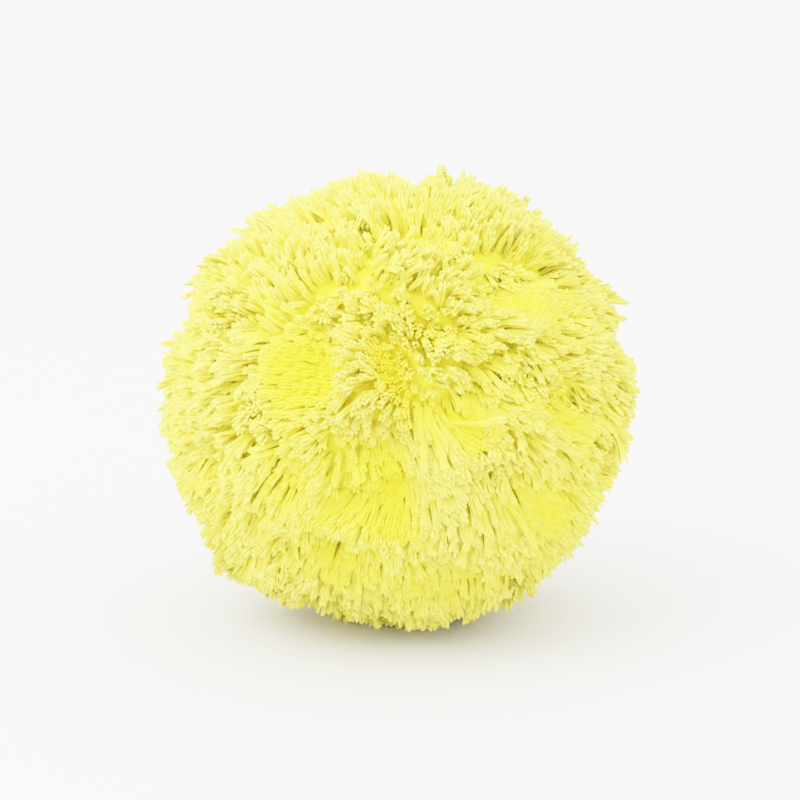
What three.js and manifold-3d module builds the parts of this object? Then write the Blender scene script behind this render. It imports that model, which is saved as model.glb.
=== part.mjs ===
// A pom pom of cut yellow yarn: a ball of locks that stand out from a tied middle.
// Millimetres, +Z up. It rests on its pressed underside, and its front faces -Y.
import * as THREE from "three";
import { mergeVertices } from "three/addons/utils/BufferGeometryUtils.js";
import Module from "manifold-3d";

// Driving sizes of the ball
const ACROSS = 92; // widest, from left to right
const DEEP = 91; // from front to back
const TALL = 89.2; // from top to bottom, before its weight presses the underside
const MIDDLE_HEIGHT = 41.4; // the tied middle above the surface that it rests on
const VIEW_TILT = 12; // degrees that the tables below look down at the ball
const VIEW_DISTANCE = 417; // from the ball's middle to the eye that saw the tables' places
const SIGHT_ROUNDS = 4; // in which a place seen on the ball is found

// Driving sizes of the locks
const LOCK_COUNT = 232; // at most, each a twist of yarn ends
const LOCK_SIDES = 4;
const LOCK_FILL = 0.98; // a lock's width across its corners, as a share of the room that it has
const WIDEST_LOCK = 11.5;
const NARROWEST_LOCK = 5;
const BLUNT_RISE = 1.5; // how far a lock's blunt end rises to its point
const ROOT_REACH = 0.5; // where locks start, as a share of the way out from the middle
const BED_REACH = 0.7; // how far out the locks are one body, as a share of the way out
const BED_ROUNDS = 2; // how often the bed's twenty first faces are split
const TRIM = 1; // how much shorter than the round ball the scissors left some tips
const CURL = 0.9; // how far a tip wanders sideways
const DROOP = 4; // how far the tips halfway up the ball hang down
const LYING = 0.6; // how far a lock lies over, as a share of how far its single ends do
const BACKWARD_BEND = 0.25; // how far a lock's middle stays behind its tip, as a share of its sway
const SEED = 20;

// How the locks are spread: shaken off their even places, then pushed apart
const SHAKE = 0.4; // as a share of the gap between neighbours
const PUSH = 0.4; // how much of a gap that is too small is made up in one round
const PUSH_ROUNDS = 14;

// Where the ball is pressed against the surface, locks end level on it
const FOOT_SPLAY = 0.1; // how far the outer ones spread, as a share of their distance from the middle
const LOWEST_TIP = 2.6; // of the locks that only come near the surface
const CLEARANCE = 0.4; // under their corners

// A hollow or tuft falls off from its middle as a bell of this steepness and squareness
const BELL_FALL = 0.7;
const BELL_SQUARENESS = 1.2;

// Hollows, where the yarn is parted and one looks at the sides of its ends. Each is placed in
// millimetres right of the middle and above it, as one sees it from the front. wide, tall and deep
// are its sizes, and turn tilts them. Its ends lie over by lie, towards comb. turn and comb are
// degrees, anticlockwise from the right.
const HOLLOW_COLUMNS = ["right", "up", "wide", "tall", "turn", "deep", "comb", "lie"];
const HOLLOWS = {
  "left hollow": [-20, 7, 15, 19, 0, 9, 135, 6],
  "left hollow's slope": [-26, 6, 14, 18, 0, 3, 170, 3],
  "middle hollow": [-2, 6.5, 9, 19, 28, 8, 120, 3],
  "middle slit": [5.3, -1.5, 8, 10, 0, 6, -88, 8],
  "right of the middle": [12, -2.8, 16, 10, 15, 8, -10, 7],
  "small upper slit": [11, 16.5, 13, 6, -10, 5, -60, 5],
  "small right slit": [17.8, 6.6, 6, 9, 0, 5, -90, 6],
  "outer right slit": [27.8, 3.8, 8, 7, 0, 4, -60, 5],
  "right dent": [36.6, -2.3, 16, 9, -15, 6, 0, 4],
  "upper right fan": [25, 24.4, 18, 12, 10, 6, 0, 9],
  "upper right rim": [36.2, 19.7, 9, 16, 0, 3, 45, 2],
  "top dent": [7.7, 36, 12, 12, 0, 3, 80, 2],
  "shoulder notch": [-31, 30, 7, 9, -45, 4, 140, 0],
  "lower pit": [-3.2, -12.2, 18, 12, 0, 7, -30, 6],
  "bottom pit": [0.2, -22.1, 12, 10, 0, 8, -90, 3],
  "bottom pit's slope": [-9.8, -23.4, 16, 7, 0, 6, 180, 8],
  "lower right slit": [22, -19.3, 11, 9, 0, 6, -75, 8],
  "lower right fan": [32.4, -21, 18, 10, -20, 6, -35, 7],
  "lower left dent": [-23.4, -15.9, 11, 11, 0, 4, -120, 3],
  "low left groove": [-14.4, -34.7, 18, 9, -20, 5, -110, 5],
  "low right groove": [9.9, -39, 22, 10, 0, 4, -90, 4],
};

// Tufts that stand proud between the hollows, placed in the same way
const TUFT_COLUMNS = ["right", "up", "wide", "tall", "turn", "proud", "comb", "lie"];
const TUFTS = {
  "ridge between the hollows": [-11.4, 8.4, 6, 19, 5, 2.5, 190, 2],
  "ridge's foot": [-6.6, -0.9, 7, 14, 38, 2.5, -60, 2],
  "under the left hollow": [-16.3, -3.4, 12, 6, 0, 2, 90, 1],
  "right of the ridge": [10.9, 5.6, 10, 8, 0, 2.5, -90, 1],
  "upper tuft": [14.6, 24.4, 9, 8, 0, 2, 60, 1],
  "slanting tuft": [24.9, 17.3, 12, 7, -35, 2, -40, 2],
  "right cheek": [32.4, -11.3, 12, 14, 0, 1.5, 0, 1],
  "right rim": [40.9, 6.6, 6, 12, 0, 1, 0, 0],
  "left cheek": [-37, 5.6, 14, 26, 0, 1, 180, 0],
  "row over the bottom pit": [8, -13, 11, 8, -20, 1.5, -60, 3],
  "lower right splay": [14.6, -23.4, 16, 12, 0, 2, -95, 7],
};

// Only the front is known. The other sides have the forms of the front again, but for its
// outermost, some mirrored, and rolled. round and roll are degrees, round on walking round. depth
// is a share of the front's depths, less at the two sides, so that the ball's outline stays round.
const SIDE_COLUMNS = ["round", "mirror", "roll", "reach", "depth"];
const SIDES = {
  front: [0, 1, 0, 50, 1],
  "right side": [95, -1, 140, 26, 0.45],
  back: [182, 1, -100, 29, 0.8],
  "left side": [266, -1, 50, 26, 0.45],
};

const { clamp, degToRad, radToDeg, seededRandom } = THREE.MathUtils;
const MIDDLE = new THREE.Vector3(0, 0, MIDDLE_HEIGHT);
const HALF = new THREE.Vector3(ACROSS / 2, DEEP / 2, TALL / 2);
const DOWNWARDS = new THREE.Vector3(0, 0, -1);
const RIGHTWARDS = new THREE.Vector3(1, 0, 0);

// The directions right, up and towards the eye for someone who stands so far round the ball
function viewOf(degreesRound) {
  const turn = degToRad(degreesRound);
  const tilt = degToRad(VIEW_TILT);
  const right = new THREE.Vector3(Math.cos(turn), Math.sin(turn), 0);
  const near = new THREE.Vector3(Math.sin(turn), -Math.cos(turn), 0);
  const toEye = near.clone().multiplyScalar(Math.cos(tilt));
  toEye.z = Math.sin(tilt);
  return { right, up: toEye.clone().cross(right), toEye };
}

// The direction from the middle to a place on the ball, so far right and up as the eye sees it.
// What is nearer to the eye looks larger, and a few rounds find how near it is.
function seenAt(view, right, up) {
  let forward = 0;
  let shrunk = 1;
  for (let round = 0; round < SIGHT_ROUNDS; round += 1) {
    shrunk = 1 - forward / VIEW_DISTANCE;
    forward = Math.sqrt(Math.max(HALF.x ** 2 - (shrunk * right) ** 2 - (shrunk * up) ** 2, 0));
  }
  const place = view.toEye.clone().multiplyScalar(forward);
  return place.addScaledVector(view.right, shrunk * right).addScaledVector(view.up, shrunk * up).normalize();
}

// A row of a table on one side of the ball, with its axis and its own directions across it
function placed(row, side, view) {
  const turned = (degrees) => degToRad(side.mirror * degrees + side.roll);
  const away = Math.hypot(row.right, row.up);
  const angle = turned(radToDeg(Math.atan2(row.up, row.right)));
  const axis = seenAt(view, away * Math.cos(angle), away * Math.sin(angle));
  const across = (degrees) => {
    const direction = view.right.clone().multiplyScalar(Math.cos(turned(degrees)));
    return direction.addScaledVector(view.up, Math.sin(turned(degrees))).projectOnPlane(axis).normalize();
  };
  const depth = (row.deep ?? row.proud) * side.depth;
  const along = across(row.turn);
  return { ...row, depth, axis, along, over: across(row.turn + 90), combed: across(row.comb) };
}

// A table's rows with their values by column
function rowsOf(columns, table) {
  const named = (row) => Object.fromEntries(columns.map((column, at) => [column, row[at]]));
  return Object.values(table).map(named);
}

function onAllSides(columns, table) {
  return rowsOf(SIDE_COLUMNS, SIDES).flatMap((side) => {
    const rows = rowsOf(columns, table).filter((row) => Math.hypot(row.right, row.up) < side.reach);
    return rows.map((row) => placed(row, side, viewOf(side.round)));
  });
}

const hollows = onAllSides(HOLLOW_COLUMNS, HOLLOWS);
const tufts = onAllSides(TUFT_COLUMNS, TUFTS);

// 1 in the middle of a hollow or tuft, falling softly to 0 past its rim
function nearness(feature, direction) {
  if (direction.dot(feature.axis) <= 0) return 0;
  const x = (2 * HALF.x * direction.dot(feature.along)) / feature.wide;
  const y = (2 * HALF.x * direction.dot(feature.over)) / feature.tall;
  return Math.exp(-BELL_FALL * (x * x + y * y) ** BELL_SQUARENESS);
}

// How far the trimmed ball reaches in a direction, without its hollows
function roundReach(direction) {
  return 1 / Math.hypot(direction.x / HALF.x, direction.y / HALF.y, direction.z / HALF.z);
}

// How far it reaches with them. Where hollows meet, the deeper one counts most.
function tipReach(direction) {
  const proud = tufts.reduce((sum, tuft) => sum + tuft.depth * nearness(tuft, direction), 0);
  const cubes = hollows.map((hollow) => (hollow.depth * nearness(hollow, direction)) ** 3);
  return roundReach(direction) + proud - Math.cbrt(cubes.reduce((sum, cube) => sum + cube));
}

// Which way, and how far in millimetres, the yarn leans: over in a hollow, and down halfway up
function lean(direction) {
  const sum = DOWNWARDS.clone().multiplyScalar(DROOP * Math.hypot(direction.x, direction.y));
  [...hollows, ...tufts].forEach((feature) => {
    sum.addScaledVector(feature.combed, LYING * feature.lie * nearness(feature, direction));
  });
  return sum.projectOnPlane(direction);
}

// Directions spread over the ball, the first of them straight down for the lock under the middle
function evenDirections(count) {
  const goldenTurn = Math.PI * (3 - Math.sqrt(5));
  return Array.from({ length: count }, (_, index) => {
    const height = index === 0 ? -1 : (2 * index + 1) / count - 1;
    const level = Math.sqrt(1 - height * height);
    const turn = index * goldenTurn;
    return new THREE.Vector3(level * Math.cos(turn), level * Math.sin(turn), height);
  });
}

// Neighbours are jostled and then pushed apart, so that they stand unevenly but never crowd
function jostle(directions) {
  const pitch = Math.sqrt((4 * Math.PI) / directions.length);
  const noise = () => SHAKE * pitch * (seededRandom() - 0.5);
  directions.slice(1).forEach((direction) => {
    direction.add(new THREE.Vector3(noise(), noise(), noise())).normalize();
  });
  for (let round = 0; round < PUSH_ROUNDS; round += 1) {
    const pushes = directions.map((here) => {
      const push = new THREE.Vector3();
      directions.forEach((there) => {
        const away = here.clone().sub(there);
        const gap = away.length();
        if (gap > 0 && gap < pitch) push.addScaledVector(away, (PUSH * (pitch - gap)) / gap);
      });
      return push;
    });
    directions.forEach((direction, index) => index > 0 && direction.add(pushes[index]).normalize());
  }
  return directions;
}

// A lock's course: straight out of the middle at its root, leaning more and more to its tip
function courseOf(direction) {
  const wander = new THREE.Vector3(seededRandom() - 0.5, seededRandom() - 0.5, seededRandom() - 0.5);
  const sway = lean(direction).addScaledVector(wander.projectOnPlane(direction), 2 * CURL);
  const aim = direction.clone().multiplyScalar(HALF.x).add(sway).normalize();
  const reach = tipReach(aim) - BLUNT_RISE - TRIM * seededRandom();
  const root = MIDDLE.clone().addScaledVector(direction, ROOT_REACH * roundReach(direction));
  const tip = MIDDLE.clone().addScaledVector(aim, reach);
  const level = MIDDLE.z + direction.z * roundReach(direction) < 0;
  if (level) {
    tip.copy(MIDDLE).addScaledVector(direction, -MIDDLE.z / direction.z);
    tip.multiply(new THREE.Vector3(1 + FOOT_SPLAY, 1 + FOOT_SPLAY, 0));
  } else {
    tip.z = Math.max(tip.z, LOWEST_TIP);
  }
  const halfway = root.clone().lerp(tip, 0.5).addScaledVector(sway, level ? 0 : -BACKWARD_BEND);
  return { direction, level, tip, curve: new THREE.QuadraticBezierCurve3(root, halfway, tip) };
}

// The room that a lock has at its tip, from the middle of its nearest neighbour
function roomOf(course, courses) {
  const others = courses.filter((other) => other !== course);
  return Math.min(...others.map((other) => other.tip.distanceTo(course.tip)));
}

// How wide a lock is at each step along it, from root to tip, as a share of its widest
const LOCK_STEPS = [
  { along: 0, width: 0.44 },
  { along: 0.84, width: 1 },
  { along: 1, width: 0.6 },
];

// A lock is a tapered prism bent along its course, with a blunt end that rises to a point,
// or one that is cut level where it stands on the surface
function lockShape(course, width) {
  const { curve, level } = course;
  const steps = LOCK_STEPS.length - 1;
  const shape = new THREE.CylinderGeometry(1, 1, steps, LOCK_SIDES, steps);
  const corners = shape.getAttribute("position");
  const spin = seededRandom() * Math.PI;
  const upright = course.direction.clone();
  const across = (Math.abs(upright.z) > 0.9 ? RIGHTWARDS : DOWNWARDS).clone().cross(upright).normalize();
  const over = upright.clone().cross(across);
  for (let i = 0; i < corners.count; i += 1) {
    const step = LOCK_STEPS[Math.round(corners.getY(i) + steps / 2)];
    const fromAxis = Math.hypot(corners.getX(i), corners.getZ(i));
    const turn = Math.atan2(corners.getX(i), corners.getZ(i)) + spin;
    const half = (fromAxis * step.width * width) / 2;
    const ended = step.along === 1;
    const place = curve.getPoint(step.along);
    place.addScaledVector(across, half * Math.cos(turn)).addScaledVector(over, half * Math.sin(turn));
    if (ended && fromAxis < 0.5 && !level) place.addScaledVector(upright, BLUNT_RISE);
    place.z = level && ended ? 0 : Math.max(place.z, CLEARANCE);
    corners.setXYZ(i, place.x, place.y, place.z);
  }
  return shape;
}

// The bed: a lumpy ball in which the roots of all the locks are one body
function bedShape() {
  const shape = new THREE.IcosahedronGeometry(1, BED_ROUNDS);
  const corners = shape.getAttribute("position");
  const direction = new THREE.Vector3();
  for (let i = 0; i < corners.count; i += 1) {
    direction.fromBufferAttribute(corners, i).normalize();
    const reach = BED_REACH * Math.min(tipReach(direction), roundReach(direction));
    corners.setXYZ(i, ...MIDDLE.clone().addScaledVector(direction, reach).toArray());
  }
  return shape;
}

const wasm = await Module();
wasm.setup();

function solidOf(shape) {
  shape.deleteAttribute("normal");
  shape.deleteAttribute("uv");
  const merged = mergeVertices(shape, 1e-4);
  const vertProperties = new Float32Array(merged.getAttribute("position").array);
  const triVerts = new Uint32Array(merged.getIndex().array);
  return new wasm.Manifold(new wasm.Mesh({ numProp: 3, vertProperties, triVerts }));
}

function shapeOf(solid) {
  const { vertProperties, triVerts } = solid.getMesh();
  const shape = new THREE.BufferGeometry();
  shape.setAttribute("position", new THREE.BufferAttribute(vertProperties, 3));
  shape.setIndex(new THREE.BufferAttribute(triVerts, 1));
  return shape;
}

function pompomShape() {
  seededRandom(SEED);
  const courses = jostle(evenDirections(LOCK_COUNT)).map(courseOf);
  let solid = solidOf(bedShape());
  courses.forEach((course) => {
    const width = clamp(LOCK_FILL * roomOf(course, courses), NARROWEST_LOCK, WIDEST_LOCK);
    solid = solid.add(solidOf(lockShape(course, width)));
  });
  return shapeOf(solid);
}

// The ball stands with the middle of its outer box over the origin
function centred(shape) {
  shape.computeBoundingBox();
  const middle = shape.boundingBox.getCenter(new THREE.Vector3());
  shape.translate(-middle.x, -middle.y, 0);
  return shape;
}

const YELLOW = 0xf3ec6b;
const yarn = new THREE.MeshStandardMaterial({ name: "yellow yarn", color: YELLOW, roughness: 0.92 });
const pompom = new THREE.Mesh(centred(pompomShape()), yarn);
pompom.name = "pompom";

const group = new THREE.Group();
group.add(pompom);

export default group;
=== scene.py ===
"""A yellow pom pom of cut yarn: thousands of yarn ends around a packed middle, on a pale floor."""

import math

import bpy
import numpy as np
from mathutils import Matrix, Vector


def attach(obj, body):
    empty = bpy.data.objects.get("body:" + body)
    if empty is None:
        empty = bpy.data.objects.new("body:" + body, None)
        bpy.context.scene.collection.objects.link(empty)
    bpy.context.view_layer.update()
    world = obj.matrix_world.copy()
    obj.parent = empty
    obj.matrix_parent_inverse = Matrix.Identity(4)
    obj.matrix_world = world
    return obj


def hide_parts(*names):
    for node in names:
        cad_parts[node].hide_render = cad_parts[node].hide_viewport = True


bl_info = {
    "name": "Yarn Pom Pom",
    "version": (1, 0, 0),
    "blender": (4, 5, 0),
    "location": "View3D > Sidebar > Pom Pom",
    "description": "A ball of cut yarn ends with tufts and hollows, on a pale floor",
    "category": "Add Mesh",
}

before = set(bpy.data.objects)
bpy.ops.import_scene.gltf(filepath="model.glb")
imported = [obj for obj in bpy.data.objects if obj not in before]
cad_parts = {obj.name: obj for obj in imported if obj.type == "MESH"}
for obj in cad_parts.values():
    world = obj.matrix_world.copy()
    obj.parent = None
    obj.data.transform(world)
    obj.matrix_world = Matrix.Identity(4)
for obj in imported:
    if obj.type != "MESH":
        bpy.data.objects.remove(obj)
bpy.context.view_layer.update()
MM = 0.001

# Hollows, where the yarn is parted and one looks at the sides of its ends. Each is placed in
# millimetres right of the middle and above it, as one sees it from the front. wide, tall and
# depth are its sizes, and turn tilts them. Its ends lie over by lie, towards comb. turn and comb
# are degrees, anticlockwise from the right.
FORM_COLUMNS = ("right", "up", "wide", "tall", "turn", "depth", "comb", "lie")
HOLLOWS = {
    "left hollow": (-20, 7, 15, 19, 0, 9, 135, 6),
    "left hollow's slope": (-26, 6, 14, 18, 0, 3, 170, 3),
    "middle hollow": (-2, 6.5, 9, 19, 28, 8, 120, 7),
    "middle slit": (5.3, -1.5, 8, 10, 0, 6, -88, 8),
    "right of the middle": (12, -2.8, 16, 10, 15, 8, -10, 7),
    "small upper slit": (11, 16.5, 13, 6, -10, 5, -60, 5),
    "small right slit": (17.8, 6.6, 6, 9, 0, 5, -90, 6),
    "outer right slit": (27.8, 3.8, 8, 7, 0, 4, -60, 5),
    "right dent": (36.6, -2.3, 16, 9, -15, 6, 0, 4),
    "upper right fan": (25, 24.4, 18, 12, 10, 6, 0, 9),
    "upper right rim": (36.2, 19.7, 9, 16, 0, 3, 45, 2),
    "top dent": (7.7, 36, 12, 12, 0, 3, 80, 2),
    "shoulder notch": (-31, 30, 7, 9, -45, 4, 140, 0),
    "lower pit": (-3.2, -12.2, 18, 12, 0, 7, -30, 6),
    "bottom pit": (0.2, -22.1, 12, 10, 0, 8, -90, 3),
    "bottom pit's slope": (-9.8, -23.4, 16, 7, 0, 6, 180, 8),
    "lower right slit": (22, -19.3, 11, 9, 0, 6, -75, 8),
    "lower right fan": (32.4, -21, 18, 10, -20, 6, -35, 7),
    "lower left dent": (-23.4, -15.9, 11, 11, 0, 4, -120, 3),
    "low left groove": (-14.4, -34.7, 18, 9, -20, 5, -110, 5),
    "low right groove": (9.9, -39, 22, 10, 0, 4, -90, 4),
}

# Tufts that stand proud between the hollows, placed in the same way. depth is how proud.
PROUD_TUFTS = {
    "ridge between the hollows": (-11.4, 8.4, 6, 19, 5, 4.5, 190, 2),
    "ridge's foot": (-6.6, -0.9, 7, 14, 38, 4, -60, 2),
    "under the left hollow": (-16.3, -3.4, 12, 6, 0, 2, 90, 1),
    "right of the ridge": (10.9, 5.6, 10, 8, 0, 2.5, -90, 1),
    "upper tuft": (14.6, 24.4, 9, 8, 0, 2, 60, 1),
    "slanting tuft": (24.9, 17.3, 12, 7, -35, 2, -40, 2),
    "right cheek": (32.4, -11.3, 12, 14, 0, 1.5, 0, 1),
    "right rim": (40.9, 6.6, 6, 12, 0, 1, 0, 0),
    "left cheek": (-37, 5.6, 14, 26, 0, 1, 180, 0),
    "row over the bottom pit": (8, -13, 11, 8, -20, 3.5, -60, 3),
    "lower right splay": (14.6, -23.4, 16, 12, 0, 3.5, -95, 7),
}

# Photos show one side. The other sides have the forms of the front again, but for its outermost,
# rolled and at two of them mirrored too, which a mirror of -1 says. round and roll are degrees,
# round on walking round. reach is how far from the middle a form is still repeated, in
# millimetres. depth is a share of the front's depths, less at the two sides, so that the ball's
# outline stays round.
SIDE_COLUMNS = ("round", "mirror", "roll", "reach", "depth")
SIDES = {
    "front": (0, 1, 0, 50, 1),
    "right side": (95, -1, 140, 26, 0.45),
    "back": (182, 1, -100, 29, 0.8),
    "left side": (266, -1, 50, 26, 0.45),
}
VIEW_DISTANCE = 417 * MM  # from the ball's middle to the eye that saw the tables' places
SIGHT_ROUNDS = 4  # in which a place on the ball is found from where it is seen

# How a hollow or tuft falls off to its rim, and how far its ends lie over as a share of its lie
BELL_FALL = 0.7
BELL_SQUARENESS = 1.2
LYING = 0.7

# Single ends that lie loose over the others, from where each comes out to its tip, in millimetres
# right of the middle and above it
LOOSE_ENDS = {
    "hanging over the middle": ((5.2, -3), (5.1, -14.3)),
    "beside it": ((7, -4), (9.5, -14)),
    "across the right hollow": ((10.9, -6.2), (21.2, -3.8)),
    "lower right, first": ((19, -17), (13, -30)),
    "lower right, second": ((21, -18), (27, -29)),
    "lower right, third": ((17, -18), (18, -31)),
}
# The four points of such an end's course: how far along it, and how many millimetres deep
LOOSE_COURSE = ((0, 11), (0.15, 2.5), (0.6, 0.2), (1, 0.8))
# The loose ends' painted shade: coloured as if shaded this far down in the pile
LOOSE_SHADE = 0.2  # its colour, from 0 at the surface to 1 deep in the pile

# The yarn ends are kept in eight pieces, by the part of the ball where they are rooted
PARTS = {
    f"yarn_{near}_{side}_{level}": (x, y, z)
    for near, y in (("front", -1), ("back", 1))
    for side, x in (("left", -1), ("right", 1))
    for level, z in (("upper", 1), ("lower", -1))
}

# How evenly the ends, and the clumps and tufts that they form, are spread: each is out of place
# by a share of the gap to its neighbours
END_SHAKE = 0.5
GROUP_SHAKE = 0.45

# In a hollow as deep as this or deeper, this share of the yarn's unevenness is gone
CALM_DEPTH = 5 * MM
CALMED = 0.9

# How far tips move aside: towards the middle of their clump and tuft, as a share of the way, with
# the whole clump or tuft, alone as a share of the curl, down under their own weight, and at most
TOWARD_CLUMP = 0.22
TOWARD_TUFT = 0.11
CLUMP_SWAY = 1.5 * MM
TUFT_SWAY = 1.6 * MM
OWN_SWAY = 0.5
STRAY_SWAY = 2.4  # times that of the other ends
DROOP = 4 * MM
FARTHEST_SWAY = 13 * MM

# How far tips stand out: more in the middle of their clump, less where tufts part, with the whole
# clump or tuft, and alone as a share of the trim
CLUMP_DOME = 0.9 * MM
TUFT_PARTING = 2.2 * MM
CLUMP_LENGTH = 0.5 * MM
TUFT_LENGTH = 0.8 * MM
OWN_LENGTH = 0.6
STRAY_LENGTH = 0.9 * MM
SHORT_BY = (0.8 * MM, 3 * MM)

# An end's course starts lower under a hollow, by a share of its depth, and then passes two points
# before its tip: how far along each is, and its shares of the tip's sway and of a wave of its own
ROOT_SUNK = 0.5
COURSE_POINTS = ((0.36, 0.06, 0.5), (0.7, 0.55, 1.0))
WAVE = 1.2 * MM
SQUEEZED_OUT = 0.8  # how far an end on the floor goes outwards, as a share of what it lost below

# Painted shade of the hollows: an end is coloured deeper yellow, as if shaded deep in the pile, as
# far as its tip is sunk, by this share, and its root, by the rest. The painted shade is less where it
# stands proud, more where it is short, full at the depth set below and deeper, and spread a little at
# random.
TIP_SUNK = 0.35
PROUD_LESS_SHADE = 2.2
SHORT_SHADE = 0.4
SHADE_FULL_DEPTH = 6 * MM
SHADE_SPREAD = 0.08

# The plies of an end turn round each other. At the four points of its course: how many turns, and
# how far from the end's middle in thicknesses of a ply. At the tip they open and end unevenly.
PLY_TURNS = (0, 0.12, 0.24, 0.36)
PLY_ASIDE = (0.42, 0.42, 0.45, 0.66)
PLY_OPENING = 0.2 * MM
PLY_LENGTH = 0.3 * MM
PLY_THICKNESS = (0.8, 1.2)  # the thinnest and thickest, in thicknesses of a ply

# One ply, from its root to its tip: how far along each ring is, and how thick it is there
PLY_RINGS = ((0.0, 0.85), (0.6, 0.9), (0.96, 1.0))
PLY_SIDES = 3
PLY_TILT = 0.1 * np.array([0.3, 0.5, 0.81])  # gives a straight ply a side of its own
SOFTNESS = 0.5  # how far a ply is shaded as the whole ball, not as a round thread

# The yarn's map has strips side by side, from ends at the surface to ends deep in the pile, which
# carry a painted
# shade: the deeper the strip, the nearer its colour comes to the root's. Each runs from roots to
# tips, and a share of it is left free at both edges and at both ends.
COLUMNS = 48
COLUMN_INSET = 0.04
END_INSET = 0.01

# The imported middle: how far above the roots it reaches, as a share of the way out, how much of a
# hollow's depth is taken off that way, how high its lumps are, and how finely it is divided
BED_ABOVE_ROOTS = 0.13
BED_SUNK = 0.5
BED_LUMPS = 0.4 * MM
BED_SUBDIVISIONS = 6

# The yarn's colour and bumps: how pale its root is beside its tip, in a painted shade that deepens
# the yellow towards the root and a painted light that pales the cut tips, how much the strips' tints
# differ at random, and how many ridges one meets on the way round a ply and along it
PAINTED_ROOT_PALENESS = 0.22
STRIP_TINT = 0.15
RIDGES_ROUND = 3
RIDGES_ALONG = 5

# The lamp, from the ball's middle, its width, how far right of the middle the camera looks, and
# the tones at which the picture's response is set
KEY_PLACE = (-0.6, -0.42, 0.75)
KEY_WIDTH = 0.7
LOOK_ASIDE = 0.3 * MM
RESPONSE_TONES = (0.06, 0.15, 0.3, 0.5, 0.75)


class PomPomBall(bpy.types.PropertyGroup):
    """Sizes of the trimmed ball"""

    across: bpy.props.FloatProperty(
        name="Across", description="Widest, from left to right", default=93.6 * MM, unit="LENGTH"
    )
    deep: bpy.props.FloatProperty(
        name="Deep", description="From front to back", default=91 * MM, unit="LENGTH"
    )
    tall: bpy.props.FloatProperty(
        name="Tall", description="From top to bottom, before the underside is pressed",
        default=89.2 * MM, unit="LENGTH",
    )
    middle_height: bpy.props.FloatProperty(
        name="Middle height", description="The tied middle above the surface",
        default=41.4 * MM, unit="LENGTH",
    )
    view_tilt: bpy.props.FloatProperty(
        name="View tilt", description="How far down the hollows were looked at",
        default=math.radians(12), subtype="ANGLE",
    )
    seed: bpy.props.IntProperty(name="Seed", description="Which of many like balls", default=7)


class PomPomYarn(bpy.types.PropertyGroup):
    """Sizes and colours of the yarn"""

    ends: bpy.props.IntProperty(name="Ends", description="Yarn ends in the ball", default=15200)
    plies: bpy.props.IntProperty(name="Plies", description="Plies in each yarn end", default=4)
    thick: bpy.props.FloatProperty(
        name="Thickness", description="Of one ply", default=0.7 * MM, unit="LENGTH"
    )
    clumps: bpy.props.IntProperty(name="Clumps", description="Ends that cling together", default=3200)
    tufts: bpy.props.IntProperty(name="Tufts", description="Groups of clumps", default=130)
    root_reach: bpy.props.FloatProperty(
        name="Root reach", description="Where ends start, as a share of the way out",
        default=0.72, subtype="FACTOR",
    )
    trim: bpy.props.FloatProperty(
        name="Trim", description="How unevenly ends were cut", default=0.9 * MM, unit="LENGTH"
    )
    setback: bpy.props.FloatProperty(
        name="Setback", description="How far most tips stop short of the outermost ones",
        default=2.3 * MM, unit="LENGTH",
    )
    curl: bpy.props.FloatProperty(
        name="Curl", description="How far a tip wanders", default=1.9 * MM, unit="LENGTH"
    )
    short: bpy.props.FloatProperty(
        name="Short", description="Share of ends that stay below the others", default=0.45,
        subtype="FACTOR",
    )
    strays: bpy.props.FloatProperty(
        name="Strays", description="Share of ends that stand out", default=0.05, subtype="FACTOR"
    )
    # The tip's colour is the yarn's yellow with a painted light that pales the cut ends; the root's
    # is the same yellow with a painted shade deep in the pile
    lit_tip_colour: bpy.props.FloatVectorProperty(
        name="Tip", description="Colour of the cut ends", default=(0.99, 0.9, 0.192),
        subtype="COLOR", min=0, max=1,
    )
    shaded_root_colour: bpy.props.FloatVectorProperty(
        name="Root", description="Colour deep in the pile", default=(0.995, 0.89, 0.048),
        subtype="COLOR", min=0, max=1,
    )


class PomPomStage(bpy.types.PropertyGroup):
    """The floor, the lights and the camera"""

    floor_width: bpy.props.FloatProperty(
        name="Floor", description="Width of the floor", default=12.0, unit="LENGTH"
    )
    floor_colour: bpy.props.FloatVectorProperty(
        name="Floor colour", description="A plain pale floor", default=(0.7, 0.7, 0.7),
        subtype="COLOR", min=0, max=1,
    )
    sky: bpy.props.FloatProperty(name="Sky", description="Strength of the white sky", default=0.69)
    key: bpy.props.FloatProperty(
        name="Key light", description="Power of the large soft lamp", default=1.75, unit="POWER"
    )
    exposure: bpy.props.FloatProperty(
        name="Exposure", description="Brighter exposure of the picture, in stops", default=-0.03
    )
    response: bpy.props.FloatProperty(
        name="Response", description="How early bright tones level off, as on film", default=5.6
    )
    bounces: bpy.props.IntProperty(
        name="Bounces", description="How often light may go from strand to strand", default=24
    )
    frame_width: bpy.props.FloatProperty(
        name="Frame width", description="What the picture spans at the ball's middle",
        default=150 * MM, unit="LENGTH",
    )
    lens: bpy.props.FloatProperty(
        name="Lens", description="Focal length in millimetres", default=100.0
    )


def unit(vectors):
    """Vectors of the same directions, one long."""
    return vectors / np.maximum(np.linalg.norm(vectors, axis=-1, keepdims=True), 1e-12)


def across_of(vectors, directions):
    """What is left of vectors at right angles to the directions."""
    return vectors - np.sum(vectors * directions, axis=-1, keepdims=True) * directions


def even_directions(count):
    """Directions spread evenly over a ball in a spiral, from the underside to the top."""
    index = np.arange(count)
    height = (2 * index + 1) / count - 1
    level = np.sqrt(1 - height**2)
    turn = index * math.pi * (3 - math.sqrt(5))
    return np.stack([level * np.cos(turn), level * np.sin(turn), height], axis=1)


def shaken(directions, share, random):
    """Even directions, each moved by up to a share of the gap to its neighbours."""
    gap = math.sqrt(4 * math.pi / len(directions))
    return unit(directions + share * gap * random.uniform(-1, 1, directions.shape))


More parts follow.
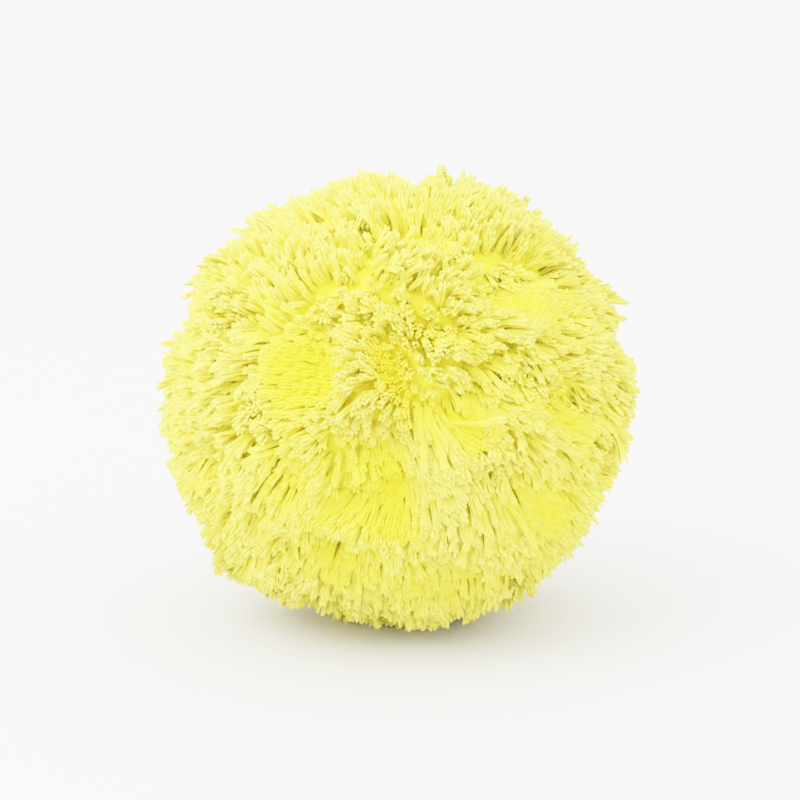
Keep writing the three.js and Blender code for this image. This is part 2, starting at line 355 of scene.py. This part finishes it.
def nearest(directions, centres, batch=2000):
    """For each direction the index of the nearest centre, and how near its rim it lies, 0 to 1."""
    first = np.empty(len(directions), int)
    rim = np.empty(len(directions))
    for start in range(0, len(directions), batch):
        part = slice(start, start + batch)
        angle = np.arccos(np.clip(directions[part] @ centres.T, -1, 1))
        two = np.partition(angle, 1, axis=1)[:, :2]
        first[part] = np.argmin(angle, axis=1)
        rim[part] = two[:, 0] / np.maximum(two.mean(axis=1), 1e-9)
    return first, np.clip(rim, 0, 1)


class Ball:
    """The trimmed ball's form in metres, from which every yarn end takes its course."""

    def __init__(self, sizes):
        self.half = np.array([sizes.across, sizes.deep, sizes.tall]) / 2
        self.middle = np.array([0, 0, sizes.middle_height])
        self.tilt = sizes.view_tilt
        self.hollows = self.on_all_sides(HOLLOWS)
        self.tufts = self.on_all_sides(PROUD_TUFTS)

    def view(self, degrees):
        """The directions right, up and towards one who stands so far round and looks down."""
        turn = math.radians(degrees)
        right = np.array([math.cos(turn), math.sin(turn), 0])
        level = np.array([math.sin(turn), -math.cos(turn), 0])
        to_eye = math.cos(self.tilt) * level + np.array([0, 0, math.sin(self.tilt)])
        return right, np.cross(to_eye, right), to_eye

    def seen_at(self, view, places):
        """The directions from the middle to places on the ball, right and up in millimetres."""
        right, up, to_eye = view
        places = np.asarray(places, float) * MM
        forward = np.zeros_like(places[..., :1])
        for _ in range(SIGHT_ROUNDS):
            seen = places * (1 - forward / VIEW_DISTANCE)  # what is nearer looks larger
            across = np.sum(seen**2, axis=-1, keepdims=True)
            forward = np.sqrt(np.maximum(self.half[0] ** 2 - across, 0))
        return unit(seen[..., :1] * right + seen[..., 1:] * up + forward * to_eye)

    def on_all_sides(self, table):
        """A table's hollows or tufts, placed on every side that repeats them."""
        forms = []
        for side in (dict(zip(SIDE_COLUMNS, values, strict=True)) for values in SIDES.values()):
            for form in (dict(zip(FORM_COLUMNS, values, strict=True)) for values in table.values()):
                if math.hypot(form["right"], form["up"]) < side["reach"]:
                    forms.append(self.placed(form, side))
        return forms

    def placed(self, form, side):
        """A hollow or tuft on one side, with its axis and its own directions across the ball."""
        view = self.view(side["round"])

        def turned(degrees):
            """Right and up parts of a direction on this side, for its degrees on the front."""
            angle = math.radians(side["mirror"] * degrees + side["roll"])
            return math.cos(angle), math.sin(angle)

        away = math.hypot(form["right"], form["up"])
        right, up = turned(math.degrees(math.atan2(form["up"], form["right"])))
        axis = self.seen_at(view, (away * right, away * up))

        def over(degrees):
            """A direction across the ball at the form's middle."""
            right, up = turned(degrees)
            return unit(across_of(right * view[0] + up * view[1], axis))

        return form | {
            "depth": form["depth"] * side["depth"], "axis": axis, "along": over(form["turn"]),
            "over": over(form["turn"] + 90), "combed": over(form["comb"]),
        }

    def nearness(self, form, directions):
        """1 in the middle of a hollow or tuft, falling softly to 0 past its rim."""
        x = 2 * self.half[0] * (directions @ form["along"]) / (form["wide"] * MM)
        y = 2 * self.half[0] * (directions @ form["over"]) / (form["tall"] * MM)
        bell = np.exp(-BELL_FALL * (x * x + y * y) ** BELL_SQUARENESS)
        return bell * (directions @ form["axis"] > 0)

    def round_reach(self, directions):
        """How far the ball reaches without its hollows."""
        return 1 / np.linalg.norm(directions / self.half, axis=1)

    def sunk(self, directions):
        """How far the hollows lower the tips."""
        cubes = sum((form["depth"] * self.nearness(form, directions)) ** 3 for form in self.hollows)
        return np.cbrt(cubes) * MM

    def proud(self, directions):
        """How far the proud tufts raise the tips."""
        return sum(form["depth"] * MM * self.nearness(form, directions) for form in self.tufts)

    def combed(self, directions):
        """How far and which way the yarn lies over in the hollows and tufts."""
        return sum(
            LYING * form["lie"] * MM * self.nearness(form, directions)[:, None] * form["combed"]
            for form in self.hollows + self.tufts
        )


def deselect_all():
    """Leaves nothing selected, so that the next operator acts on its own piece alone."""
    for thing in bpy.context.selected_objects:
        thing.select_set(False)


def model_ply():
    """Models one ply, one unit thick and one long, closed at its root and domed at its tip."""
    deselect_all()
    bpy.ops.mesh.primitive_circle_add(
        vertices=PLY_SIDES, radius=PLY_RINGS[0][1] / 2, fill_type="NGON", location=(0, 0, 0)
    )
    bpy.ops.object.mode_set(mode="EDIT")
    bpy.ops.mesh.select_all(action="SELECT")
    for (low, thin), (high, thick) in zip(PLY_RINGS, PLY_RINGS[1:], strict=False):
        bpy.ops.mesh.extrude_region_move(TRANSFORM_OT_translate={"value": (0, 0, high - low)})
        bpy.ops.transform.resize(value=(thick / thin, thick / thin, 1))
    bpy.ops.mesh.extrude_region_move(TRANSFORM_OT_translate={"value": (0, 0, 1 - PLY_RINGS[-1][0])})
    bpy.ops.mesh.merge(type="CENTER")
    bpy.ops.mesh.select_all(action="SELECT")
    bpy.ops.mesh.normals_make_consistent(inside=False)
    bpy.ops.object.mode_set(mode="OBJECT")
    return bpy.context.object


class Ply:
    """The modelled ply as arrays, ready to be copied along many courses."""

    def __init__(self):
        pattern = model_ply()
        mesh = pattern.data
        corners = np.array([v.co[:] for v in mesh.vertices])
        self.aside = corners[:, :2]
        self.along = corners[:, 2]
        self.counts = np.array([face.loop_total for face in mesh.polygons])
        self.loops = np.concatenate([list(face.vertices) for face in mesh.polygons])
        self.around = np.concatenate([self.face_turns(face) for face in mesh.polygons])
        bpy.data.objects.remove(pattern)

    def face_turns(self, face):
        """How far round the ply each corner of a face is, from 0 to 1, unbroken over the seam."""
        places = self.aside[list(face.vertices)]
        turns = np.arctan2(places[:, 1], places[:, 0]) / (2 * math.pi)
        inner = np.linalg.norm(places, axis=1) < 1e-4
        middle = places[~inner].mean(axis=0)
        centre = math.atan2(middle[1], middle[0]) / (2 * math.pi)
        turns = np.where(inner, centre, turns)
        turns = centre + (turns - centre + 0.5) % 1 - 0.5
        shift = -math.floor(turns.min() + 1e-6)
        return turns + shift


def bezier(points, along):
    """Places and headings at the given shares of the way along each four-point course."""
    a, b, c, d = (points[:, k, None, :] for k in range(4))
    s = along[None, :, None]
    t = 1 - s
    place = t**3 * a + 3 * t**2 * s * b + 3 * t * s**2 * c + s**3 * d
    heading = t**2 * (b - a) + 2 * t * s * (c - b) + s**2 * (d - c)
    return place, unit(heading)


def copied_mesh(name, ply, corners):
    """One mesh of many copies of the ply, whose corners are given copy by copy."""
    copies, per_copy = corners.shape[:2]
    mesh = bpy.data.meshes.new(name)
    mesh.vertices.add(copies * per_copy)
    mesh.vertices.foreach_set("co", corners.astype(np.float32).ravel())
    first = np.arange(copies)[:, None] * per_copy
    mesh.loops.add(copies * len(ply.loops))
    mesh.loops.foreach_set("vertex_index", (first + ply.loops).astype(np.int32).ravel())
    counts = np.tile(ply.counts, copies)
    mesh.polygons.add(len(counts))
    mesh.polygons.foreach_set("loop_start", (np.cumsum(counts) - counts).astype(np.int32))
    mesh.polygons.foreach_set("loop_total", counts.astype(np.int32))
    mesh.polygons.foreach_set("use_smooth", np.ones(len(counts), bool))
    return mesh


def yarn_piece(name, ply, courses, thick, shade_column, middle):
    """Copies the ply along every course, and joins the copies as one mesh with its map."""
    place, heading = bezier(courses, ply.along)
    # Square to the first heading and nearly so to the last, so that no ply twists over itself
    reference = unit(np.cross(heading[:, :1], heading[:, -1:] + PLY_TILT))
    side = unit(across_of(reference, heading))
    around = ply.aside[:, :1] * side + ply.aside[:, 1:] * np.cross(heading, side)
    corners = place + thick[:, None, None] * around
    corners[..., 2] = np.maximum(corners[..., 2], 0)
    mesh = copied_mesh(name, ply, corners)

    strip = COLUMN_INSET + (1 - 2 * COLUMN_INSET) * ply.around
    # The strip an end falls in sets its painted shade of the hollows
    u = (shade_column[:, None] + strip) / COLUMNS
    v = np.broadcast_to(END_INSET + (1 - 2 * END_INSET) * ply.along[ply.loops], u.shape)
    layer = mesh.uv_layers.new(name="OFBake")
    layer.uv.foreach_set("vector", np.stack([u, v], axis=-1).astype(np.float32).ravel())
    mesh.update(calc_edges=True)
    mesh.validate()
    soft = unit(SOFTNESS * unit(corners - middle) + (1 - SOFTNESS) * unit(around))
    mesh.normals_split_custom_set_from_vertices(soft.reshape(-1, 3).tolist())
    piece = bpy.data.objects.new(name, mesh)
    bpy.context.collection.objects.link(piece)
    return piece


class Clumps:
    """Which yarn ends cling together in clumps, and which clumps in tufts."""

    def __init__(self, direction, yarn, random):
        clump_axes = shaken(even_directions(yarn.clumps), GROUP_SHAKE, random)
        tuft_axes = shaken(even_directions(yarn.tufts), GROUP_SHAKE, random)
        self.clumps, self.tufts = yarn.clumps, yarn.tufts
        self.clump, self.clump_rim = nearest(direction, clump_axes)
        clump_tuft, tuft_rim = nearest(clump_axes, tuft_axes)
        self.tuft, self.tuft_rim = clump_tuft[self.clump], tuft_rim[self.clump]
        # Tips close up to the middle of their clump, and clumps to the middle of their tuft
        self.closing = TOWARD_CLUMP * across_of(clump_axes[self.clump], direction)
        self.closing += TOWARD_TUFT * across_of(tuft_axes[self.tuft], direction)

    def shared(self, clump_spread, tuft_spread, random, parts=()):
        """Random values of so many parts, which the ends of a clump and of a tuft share."""
        by_clump = random.normal(0, clump_spread, (self.clumps, *parts))[self.clump]
        by_tuft = random.normal(0, tuft_spread, (self.tufts, *parts))[self.tuft]
        return by_clump + by_tuft

    def dome(self):
        """How far tips stand out in the middle of their clump, and fall back where tufts part."""
        return CLUMP_DOME * (1 - self.clump_rim**2) - TUFT_PARTING * self.tuft_rim**3


def yarn_courses(ball, yarn, random):
    """Every yarn end's root direction, four-point course, painted shade of the hollows and
    unevenness.
    """
    direction = shaken(even_directions(yarn.ends), END_SHAKE, random)
    count = len(direction)
    clumps = Clumps(direction, yarn, random)
    uneven = 1 - CALMED * np.clip(ball.sunk(direction) / CALM_DEPTH, 0, 1)

    sway = ball.half[0] * clumps.closing + clumps.shared(CLUMP_SWAY, TUFT_SWAY, random, (3,))
    own_sway = random.normal(0, OWN_SWAY * yarn.curl, (count, 3))
    stray = random.random(count) < yarn.strays
    short = random.random(count) < yarn.short
    own_sway[stray] *= STRAY_SWAY
    level = np.linalg.norm(direction[:, :2], axis=1)
    droop = -DROOP * level[:, None] * np.array([0, 0, 1.0])
    sway = across_of(uneven[:, None] * (sway + own_sway) + droop, direction)
    sway += ball.combed(direction)
    far = np.linalg.norm(sway, axis=1, keepdims=True)
    sway *= np.minimum(1, FARTHEST_SWAY / np.maximum(far, 1e-9))
    aim = unit(direction * ball.half[0] + sway)

    dome = uneven * clumps.dome()
    length = clumps.shared(CLUMP_LENGTH, TUFT_LENGTH, random)
    own_length = random.normal(0, OWN_LENGTH * yarn.trim, count)
    own_length += stray * random.uniform(0, STRAY_LENGTH, count)
    own_length -= short * random.uniform(*SHORT_BY, count)
    reach = ball.round_reach(aim) + ball.proud(aim) - ball.sunk(aim) - yarn.setback
    reach += dome + uneven * (length + own_length)

    root_reach = yarn.root_reach * ball.round_reach(direction) - ROOT_SUNK * ball.sunk(direction)
    root = ball.middle + direction * root_reach[:, None]
    tip = ball.middle + aim * reach[:, None]
    way = direction * np.linalg.norm(tip - root, axis=1, keepdims=True)
    waves = uneven[:, None] * across_of(random.normal(0, WAVE, (2, count, 3)), direction)
    between = [
        root + along * way + swayed * sway + waved * wave
        for (along, swayed, waved), wave in zip(COURSE_POINTS, waves, strict=True)
    ]

    # Painted shade: ends sunk in a hollow or cut short are coloured deeper, proud ones and those on a
    # clump's dome paler
    sunk = TIP_SUNK * ball.sunk(aim) + (1 - TIP_SUNK) * ball.sunk(direction)
    hollow_shade = sunk - PROUD_LESS_SHADE * ball.proud(aim) - dome - SHORT_SHADE * uneven * own_length
    return direction, np.stack([root, *between, tip], axis=1), hollow_shade / SHADE_FULL_DEPTH, uneven


def loose_courses(ball):
    """The root directions and courses of the single ends that lie loose over the front."""
    view = ball.view(0)
    first = ball.seen_at(view, [ends[0] for ends in LOOSE_ENDS.values()])
    last = ball.seen_at(view, [ends[1] for ends in LOOSE_ENDS.values()])
    points = []
    for along, depth in LOOSE_COURSE:
        direction = unit(first + along * (last - first))
        points.append(ball.middle + direction * (ball.round_reach(direction) - depth * MM)[:, None])
    return first, np.stack(points, axis=1)


def ply_courses(direction, courses, uneven, yarn, random):
    """The plies of every yarn end: they turn round each other and open at the cut tip."""
    count = len(direction)
    first = unit(across_of(random.normal(0, 1, (count, 3)), direction))
    second = np.cross(direction, first)
    aside = (yarn.thick * np.array(PLY_ASIDE))[None, :, None]
    plies = []
    for ply in range(yarn.plies):
        angle = 2 * math.pi * (ply / yarn.plies + np.array(PLY_TURNS))[None, :, None]
        spread = aside * (np.cos(angle) * first[:, None] + np.sin(angle) * second[:, None])
        spread[:, 3] += uneven[:, None] * random.normal(0, PLY_OPENING, (count, 3))
        spread[:, 3] += direction * (uneven * random.normal(0, PLY_LENGTH, count))[:, None]
        plies.append(courses + spread)
    return np.concatenate(plies)


def rest_on_floor(courses, thick):
    """Turns the ends that would go under the floor outwards, so that they lie level on it."""
    lowest = 0.5 * thick[:, None]
    under = np.maximum(lowest - courses[..., 2], 0)
    outward = unit(courses[..., :2] + 1e-6)
    courses[..., :2] += outward * (SQUEEZED_OUT * under)[..., None]
    courses[..., 2] = np.maximum(courses[..., 2], lowest)
    return courses


class Value:
    """A shader socket that takes part in ordinary arithmetic, by adding Math nodes."""

    def __init__(self, shader, socket):
        self.shader, self.socket = shader, socket

    def math(self, operation, *others):
        """The result of a Math node on this value and others."""
        return self.shader.node("ShaderNodeMath", {"operation": operation}, self, *others)

    def __add__(self, other):
        return self.math("ADD", other)

    def __sub__(self, other):
        return self.math("SUBTRACT", other)

    def __rsub__(self, other):
        return self.shader.node("ShaderNodeMath", {"operation": "SUBTRACT"}, other, self)

    def __mul__(self, other):
        return self.math("MULTIPLY", other)

    __radd__, __rmul__ = __add__, __mul__

    def __pow__(self, other):
        return self.math("POWER", other)


class Shader:
    """A material under construction."""

    def __init__(self, name):
        self.material = bpy.data.materials.new(name)
        self.material.use_nodes = True
        self.tree = self.material.node_tree
        self.tree.nodes.clear()

    def node(self, kind, settings=None, *inputs, output=0, **sockets):
        """Adds a node, sets it, fills its sockets by order or by name, and returns one output."""
        node = self.tree.nodes.new(kind)
        for key, value in (settings or {}).items():
            setattr(node, key, value)
        filled = list(zip(node.inputs, inputs, strict=False))
        filled += [(node.inputs[key.replace("_", " ")], value) for key, value in sockets.items()]
        self.fill(filled)
        return Value(self, node.outputs[output]) if node.outputs else None

    def fill(self, filled):
        """Links or sets each socket."""
        for socket, value in filled:
            if isinstance(value, Value):
                self.tree.links.new(value.socket, socket)
            else:
                socket.default_value = value

    def mixed(self, share, first, second):
        """A colour between two, by a share."""
        node = self.tree.nodes.new("ShaderNodeMix")
        node.data_type = "RGBA"
        values = {"Factor_Float": share, "A_Color": first, "B_Color": second}
        self.fill((s, values[s.identifier]) for s in node.inputs if s.identifier in values)
        return Value(self, next(s for s in node.outputs if s.identifier == "Result_Color"))

    def finish(self, surface):
        """Closes the material with its surface."""
        self.node("ShaderNodeOutputMaterial", None, surface)
        return self.material


def rgba(colour, by=1.0):
    """A colour with its alpha, made darker by a factor."""
    return (*(channel * by for channel in colour), 1.0)


def yarn_material(yarn):
    """Plied yarn: painted shade makes it deeper yellow at the root and in strips deep in the hollows,
    painted light makes it paler at the cut tip, and each strip has its own tint.
    """
    shader = Shader("plied_yellow_yarn")
    place = shader.node("ShaderNodeUVMap", {"uv_map": "OFBake"})
    columns = shader.node("ShaderNodeSeparateXYZ", None, place, output="X") * COLUMNS
    v = shader.node("ShaderNodeSeparateXYZ", None, place, output="Y")
    strip = columns.math("FLOOR")
    around = columns - strip
    # Painted light and shade: paler towards the tip, deeper towards the root and in strips of ends
    # deep in the hollows
    pale = (v**4 * (1 - PAINTED_ROOT_PALENESS) + PAINTED_ROOT_PALENESS) * (1 - strip * (1 / COLUMNS))
    colour = shader.mixed(pale, rgba(yarn.shaded_root_colour), rgba(yarn.lit_tip_colour))
    tint = shader.node("ShaderNodeTexWhiteNoise", {"noise_dimensions": "1D"}, W=strip)
    deeper = shader.mixed(tint * STRIP_TINT, colour, rgba(yarn.shaded_root_colour))
    ridges = ((around * RIDGES_ROUND + v * RIDGES_ALONG) * (2 * math.pi)).math("SINE")
    bump = shader.node("ShaderNodeBump", None, Height=ridges, Strength=0.25, Distance=0.1 * MM)
    surface = shader.node(
        "ShaderNodeBsdfPrincipled", None, Base_Color=deeper, Normal=bump,
        Roughness=0.9, Specular_IOR_Level=0.05,
    )
    return shader.finish(surface)


def bed_material(yarn):
    """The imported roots, mottled as the plies that meet there."""
    shader = Shader("packed_roots")
    place = shader.node("ShaderNodeTexCoord", output="Object")
    mottle = shader.node("ShaderNodeTexNoise", None, place, Scale=900.0, Detail=3.0)
    # The middle takes the root's colour, with its painted shade deep in the pile, mottled at random
    colour = shader.mixed(mottle, rgba(yarn.shaded_root_colour, by=0.95), rgba(yarn.shaded_root_colour))
    bump = shader.node("ShaderNodeBump", None, Height=mottle, Strength=0.8, Distance=0.4 * MM)
    surface = shader.node(
        "ShaderNodeBsdfPrincipled", None, Base_Color=colour, Normal=bump, Roughness=0.95
    )
    return shader.finish(surface)


def floor_material(stage):
    """The plain pale floor."""
    shader = Shader("pale_floor")
    surface = shader.node(
        "ShaderNodeBsdfPrincipled", None, Base_Color=rgba(stage.floor_colour), Roughness=0.8
    )
    return shader.finish(surface)


def film_response(view, strength):
    """A tone curve that keeps dark tones and levels off towards white, as the photo's does."""
    view.use_curve_mapping = True
    combined = view.curve_mapping.curves[3]
    for tone in RESPONSE_TONES:
        combined.points.new(tone, (1 - math.exp(-strength * tone)) / (1 - math.exp(-strength)))
    view.curve_mapping.update()


def look_at(thing, place):
    """Turns a lamp or camera towards a place."""
    thing.rotation_euler = (place - thing.location).to_track_quat("-Z", "Y").to_euler()


class OBJECT_OT_pompom_bed(bpy.types.Operator):
    """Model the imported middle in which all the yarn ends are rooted"""

    bl_idname = "object.pompom_bed"
    bl_label = "Packed Middle"

    def execute(self, context):
        scene = context.scene
        yarn = scene.pompom_yarn
        ball = Ball(scene.pompom_ball)
        random = np.random.default_rng(scene.pompom_ball.seed)
        deselect_all()
        bpy.ops.mesh.primitive_ico_sphere_add(
            subdivisions=BED_SUBDIVISIONS, radius=1, location=(0, 0, 0)
        )
        bed = context.object
        bed.name = bed.data.name = "packed_middle"
        direction = unit(np.array([v.co[:] for v in bed.data.vertices]))
        reach = ball.round_reach(direction) - yarn.setback - BED_SUNK * ball.sunk(direction)
        reach *= yarn.root_reach + BED_ABOVE_ROOTS
        reach += random.uniform(-BED_LUMPS, BED_LUMPS, len(direction))
        place = ball.middle + direction * reach[:, None]
        bed.data.vertices.foreach_set("co", place.astype(np.float32).ravel())
        bpy.ops.object.shade_smooth()
        bed.data.materials.append(bed_material(yarn))
        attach(bed, "root")
        return {"FINISHED"}


class OBJECT_OT_pompom_yarn(bpy.types.Operator):
    """Model one ply, and copy it along the course of every ply of every end in the ball"""

    bl_idname = "object.pompom_yarn"
    bl_label = "Yarn Ends"

    def execute(self, context):
        scene = context.scene
        yarn = scene.pompom_yarn
        random = np.random.default_rng(scene.pompom_ball.seed)
        ball = Ball(scene.pompom_ball)
        direction, courses, hollow_shade, uneven = yarn_courses(ball, yarn, random)
        loose_direction, loose = loose_courses(ball)
        direction = np.concatenate([direction, loose_direction])
        uneven = np.concatenate([uneven, np.zeros(len(loose))])
        # The loose ends all get the same painted shade
        hollow_shade = np.concatenate([hollow_shade, np.full(len(loose), LOOSE_SHADE)])
        courses = ply_courses(direction, np.concatenate([courses, loose]), uneven, yarn, random)

        direction = np.tile(direction, (yarn.plies, 1))
        thick = yarn.thick * random.uniform(*PLY_THICKNESS, len(direction))
        courses = rest_on_floor(courses, thick)
        # Each end's painted shade of the hollows, spread a little at random, picks its strip of the
        # map
        hollow_shade = np.tile(hollow_shade, yarn.plies) + random.normal(0, SHADE_SPREAD, len(direction))
        shade_column = (COLUMNS * np.clip(hollow_shade, 0, 0.999)).astype(int)
        ply = Ply()
        material = yarn_material(yarn)
        for name, corner in PARTS.items():
            here = np.all((direction >= 0) == (np.array(corner) > 0), axis=1)
            if not here.any():
                raise RuntimeError(f"no yarn end is rooted in {name}")
            piece = yarn_piece(name, ply, courses[here], thick[here], shade_column[here], ball.middle)
            piece.data.materials.append(material)
            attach(piece, "root")
            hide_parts("pompom")
        return {"FINISHED"}


class OBJECT_OT_pompom_stage(bpy.types.Operator):
    """Lay the pale floor and set the soft lights and the camera"""

    bl_idname = "object.pompom_stage"
    bl_label = "Floor, Lights and Camera"

    def execute(self, context):
        stage = context.scene.pompom_stage
        middle = Vector((0, 0, context.scene.pompom_ball.middle_height))
        self.lay_floor(context, stage)
        self.set_lights(context, stage, middle)
        self.set_camera(context, stage, middle)
        return {"FINISHED"}

    def lay_floor(self, context, stage):
        """A plain floor, wide enough to fill the picture's background."""
        deselect_all()
        bpy.ops.mesh.primitive_plane_add(size=stage.floor_width, location=(0, 0, 0))
        floor = context.object
        floor.name = "floor"
        floor.data.materials.append(floor_material(stage))

    def set_lights(self, context, stage, middle):
        """A white sky all round, and a large soft lamp at the upper left."""
        world = bpy.data.worlds.new("white_studio")
        world.use_nodes = True
        background = world.node_tree.nodes["Background"]
        background.inputs["Color"].default_value = (1, 1, 1, 1)
        background.inputs["Strength"].default_value = stage.sky
        context.scene.world = world

        lamp = bpy.data.lights.new("key", "AREA")
        lamp.energy = stage.key
        lamp.size = KEY_WIDTH
        key = bpy.data.objects.new("key", lamp)
        key.location = middle + Vector(KEY_PLACE)
        look_at(key, middle)
        context.collection.objects.link(key)

    def set_camera(self, context, stage, middle):
        """The camera at the photo's viewing angle, and how the picture takes up light."""
        scene = context.scene
        view = bpy.data.cameras.new("camera")
        view.lens = stage.lens
        camera = bpy.data.objects.new("camera", view)
        tilt = scene.pompom_ball.view_tilt
        away = stage.frame_width * view.lens / view.sensor_width
        target = middle + Vector((LOOK_ASIDE, 0, 0))
        camera.location = target + away * Vector((0, -math.cos(tilt), math.sin(tilt)))
        look_at(camera, target)
        context.collection.objects.link(camera)
        scene.camera = camera
        scene.view_settings.view_transform = "Standard"
        scene.view_settings.exposure = stage.exposure
        film_response(scene.view_settings, stage.response)
        # Light goes from strand to strand many times, which keeps the hollows bright and yellow
        scene.cycles.max_bounces = stage.bounces
        scene.cycles.diffuse_bounces = stage.bounces


class VIEW3D_PT_pompom(bpy.types.Panel):
    """Lists the pom pom's operators and sizes"""

    bl_idname = "VIEW3D_PT_pompom"
    bl_label = "Yarn Pom Pom"
    bl_space_type = "VIEW_3D"
    bl_region_type = "UI"
    bl_category = "Pom Pom"

    def draw(self, context):
        for operator in OPERATORS:
            self.layout.operator(operator.bl_idname)
        for name in GROUPS:
            group = getattr(context.scene, name)
            box = self.layout.box()
            for key in group.__annotations__:
                box.prop(group, key)


GROUPS = {"pompom_ball": PomPomBall, "pompom_yarn": PomPomYarn, "pompom_stage": PomPomStage}
OPERATORS = (OBJECT_OT_pompom_stage, OBJECT_OT_pompom_bed, OBJECT_OT_pompom_yarn)
CLASSES = (*GROUPS.values(), *OPERATORS, VIEW3D_PT_pompom)


def register():
    """Registers the classes, and gives each scene the pom pom's sizes and colours."""
    for cls in CLASSES:
        bpy.utils.register_class(cls)
    for name, group in GROUPS.items():
        setattr(bpy.types.Scene, name, bpy.props.PointerProperty(type=group))


def unregister():
    """Takes back all that register adds."""
    for name in GROUPS:
        delattr(bpy.types.Scene, name)
    for cls in reversed(CLASSES):
        bpy.utils.unregister_class(cls)


def main():
    """Makes the stage and the pom pom."""
    register()
    bpy.ops.object.pompom_stage()
    bpy.ops.object.pompom_bed()
    bpy.ops.object.pompom_yarn()


if __name__ == "__main__":
    main()
